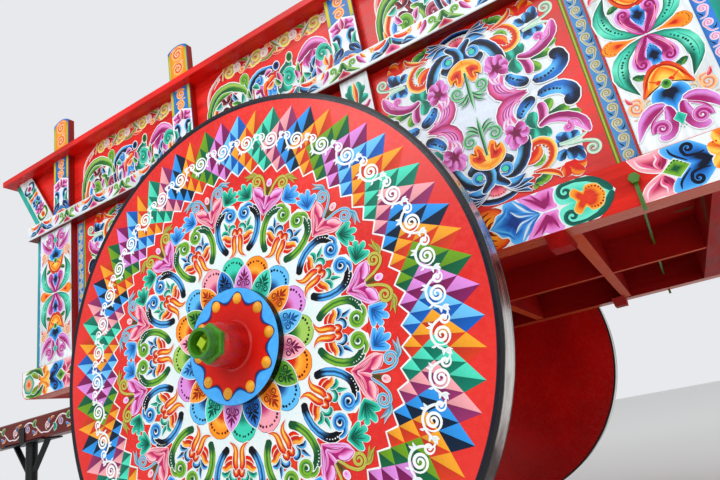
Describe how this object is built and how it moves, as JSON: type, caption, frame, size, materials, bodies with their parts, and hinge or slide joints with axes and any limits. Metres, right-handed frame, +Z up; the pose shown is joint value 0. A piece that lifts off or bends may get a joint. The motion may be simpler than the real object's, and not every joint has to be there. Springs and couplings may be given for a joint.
{
  "type": "painted bullock cart",
  "caption": "Giant two-wheeled bullock cart with solid disc wheels, a two-tier flared box and a long pole resting on a stand; painted all over with folk ornament.",
  "frame": {"origin": "centre of the footprint of the whole cart with its pole, on the floor it stands on", "axes": "+X forward along the pole, +Y to the cart's left side, +Z up"},
  "size_m": [10.4, 3.966, 3.5798],
  "materials": {
    "red_painted_wood": "gloss enamel over smooth wood",
    "dark_red_painted_wood": "worn flat red paint over rough wood",
    "white_painted_wood": "gloss enamel ground under painted ornament",
    "blue_painted_wood": "gloss enamel",
    "turquoise_painted_wood": "gloss enamel",
    "dark_red_painted_steel": "gloss paint",
    "brown_painted_wood": "gloss enamel",
    "black_painted_steel": "semi-gloss paint",
    "green_painted_steel": "gloss paint",
    "worn_tyre_steel": "worn bright tread, dark edge",
    "light_blue_painted_wood": "gloss enamel, black edge",
    "red_painted_steel": "gloss paint",
    "yellow_painted_steel": "gloss paint"
  },
  "bodies": {
    "root": {"axle": "dark_red_painted_steel", "axle_nut_left": "green_painted_steel", "axle_nut_right": "green_painted_steel", "bolsters": "dark_red_painted_wood", "side_beam_left": "white_painted_wood", "side_beam_right": "white_painted_wood", "end_beams": "dark_red_painted_wood", "cross_joists": "dark_red_painted_wood", "centre_joist": "dark_red_painted_wood", "hangers": "dark_red_painted_wood", "tie_rods": "green_painted_steel", "floor": "dark_red_painted_wood", "side_panel_left": "red_painted_wood", "side_panel_right": "red_painted_wood", "posts_left": "white_painted_wood", "posts_right": "white_painted_wood", "corner_boards_left": "white_painted_wood", "corner_boards_right": "white_painted_wood", "corner_posts": "turquoise_painted_wood", "end_panels": "red_painted_wood", "side_band_left": "white_painted_wood", "side_band_right": "white_painted_wood", "end_bands": "white_painted_wood", "upper_panel_left": "red_painted_wood", "upper_panel_right": "red_painted_wood", "wing_boards_left": "white_painted_wood", "wing_boards_right": "white_painted_wood", "stakes_left": "blue_painted_wood", "stakes_right": "blue_painted_wood", "upper_end_panels": "red_painted_wood", "top_rail_left": "red_painted_wood", "top_rail_right": "red_painted_wood", "end_rails": "red_painted_wood", "pole": "brown_painted_wood", "stand_foot": "black_painted_steel", "stand_pipe": "black_painted_steel", "stand_braces": "black_painted_steel", "stand_saddle": "black_painted_steel"},
    "wheel_left": {"wheel_disc_left": "red_painted_wood", "tyre_left": "worn_tyre_steel", "hub_flange_left": "light_blue_painted_wood", "flange_bolts_left": "yellow_painted_steel", "hub_left": "red_painted_steel"},
    "wheel_right": {"wheel_disc_right": "red_painted_wood", "tyre_right": "worn_tyre_steel", "hub_flange_right": "light_blue_painted_wood", "flange_bolts_right": "yellow_painted_steel", "hub_right": "red_painted_steel"}
  },
  "joints": [
    {"name": "wheel_left_spin", "type": "hinge", "parent": "root", "child": "wheel_left", "pos_m": [-2.537, 1.661, 1.25], "axis": [0, 1, 0], "continuous": true},
    {"name": "wheel_right_spin", "type": "hinge", "parent": "root", "child": "wheel_right", "pos_m": [-2.537, -1.661, 1.25], "axis": [0, 1, 0], "continuous": true}
  ]
}
